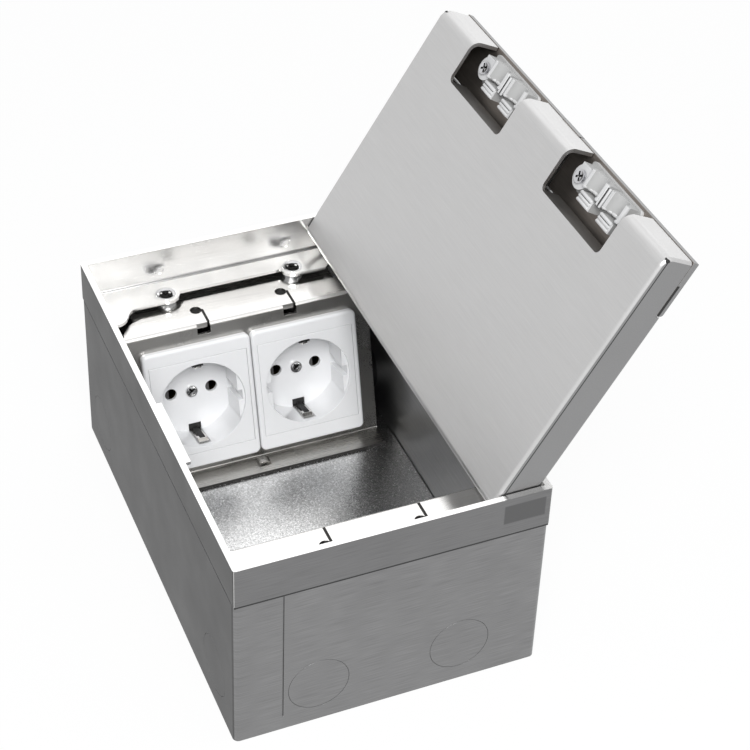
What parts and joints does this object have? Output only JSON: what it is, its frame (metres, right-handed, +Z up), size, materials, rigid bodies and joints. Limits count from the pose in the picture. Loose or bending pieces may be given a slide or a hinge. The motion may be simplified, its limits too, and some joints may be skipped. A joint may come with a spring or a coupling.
{
  "type": "floor socket box",
  "caption": "Metal floor socket box with a hinged lid standing open, earthed sockets on two inner brackets, cable outlets with flaps in the lid and knock-outs in the walls.",
  "frame": {"origin": "centre of the lower box's underside, where it stands on the raw floor", "axes": "+Z up, +X across the box towards the lid's hinge side, +Y along the box"},
  "size_m": [0.1825, 0.202, 0.1891],
  "materials": {
    "galvanised_box": "galvanised sheet, fine horizontal brushing",
    "galvanised_floor": "galvanised sheet, speckled",
    "foam_rubber": "foam seal",
    "satin_trim": "satin stainless steel",
    "satin_lid": "satin stainless steel",
    "satin_cover": "satin stainless steel",
    "bracket_steel": "bright zinc plated sheet",
    "zinc_screws": "zinc plated",
    "steel_pins": "drawn steel",
    "brass": "plain brass",
    "nickel_plate": "nickel plated spring strip",
    "white_gloss_plastic": "white, smooth",
    "grey_thermoset": "moulded, plain",
    "shutter_plastic": "pale moulding",
    "insert_plastic": "mid grey moulding"
  },
  "bodies": {
    "floor_box": {"bracket_nuts": "zinc_screws", "bracket_screws": "zinc_screws", "earth_clip_front_left": "nickel_plate", "earth_clip_front_right": "nickel_plate", "earth_clip_rear_left": "nickel_plate", "earth_clip_rear_right": "nickel_plate", "earth_nut": "zinc_screws", "earth_stud": "zinc_screws", "earth_washer": "zinc_screws", "floor_plate": "galvanised_floor", "front_bracket": "bracket_steel", "hinge_pins": "steel_pins", "knockout_discs": "galvanised_box", "level_posts": "galvanised_box", "level_screws": "zinc_screws", "lower_box": "galvanised_box", "pin_contacts_front_left": "brass", "pin_contacts_front_right": "brass", "pin_contacts_rear_left": "brass", "pin_contacts_rear_right": "brass", "rear_bracket": "bracket_steel", "shutters_front_left": "shutter_plastic", "shutters_front_right": "shutter_plastic", "shutters_rear_left": "shutter_plastic", "shutters_rear_right": "shutter_plastic", "socket_base_front_left": "grey_thermoset", "socket_base_front_right": "grey_thermoset", "socket_base_rear_left": "grey_thermoset", "socket_base_rear_right": "grey_thermoset", "socket_frame_front_left": "white_gloss_plastic", "socket_frame_front_right": "white_gloss_plastic", "socket_frame_rear_left": "white_gloss_plastic", "socket_frame_rear_right": "white_gloss_plastic", "socket_module_front_left": "white_gloss_plastic", "socket_module_front_right": "white_gloss_plastic", "socket_module_rear_left": "white_gloss_plastic", "socket_module_rear_right": "white_gloss_plastic", "socket_screws": "zinc_screws", "terminal_screws": "zinc_screws", "trim_frame": "satin_trim", "trim_gasket": "foam_rubber"},
    "lid": {"lid_tray": "satin_lid", "lid_cover": "satin_cover", "lid_ribs": "bracket_steel", "hinge_bushes": "brass", "flap_lugs": "bracket_steel", "flap_pins": "steel_pins"},
    "flap_rear": {"outlet_flap_rear": "satin_cover", "outlet_insert_rear": "insert_plastic", "insert_screw_rear": "zinc_screws"},
    "flap_front": {"outlet_flap_front": "satin_cover", "outlet_insert_front": "insert_plastic", "insert_screw_front": "zinc_screws"}
  },
  "joints": [
    {"name": "lid_hinge", "type": "hinge", "parent": "floor_box", "child": "lid", "pos_m": [0.0531, 0, 0.088], "axis": [0, 1, 0], "range_deg": [-121.5, 0]},
    {"name": "flap_rear_hinge", "type": "hinge", "parent": "lid", "child": "flap_rear", "pos_m": [0.10412, 0, 0.16428], "axis": [0, 1, 0], "range_deg": [0, 90]},
    {"name": "flap_front_hinge", "type": "hinge", "parent": "lid", "child": "flap_front", "pos_m": [0.10412, 0, 0.16428], "axis": [0, 1, 0], "range_deg": [0, 90]}
  ]
}
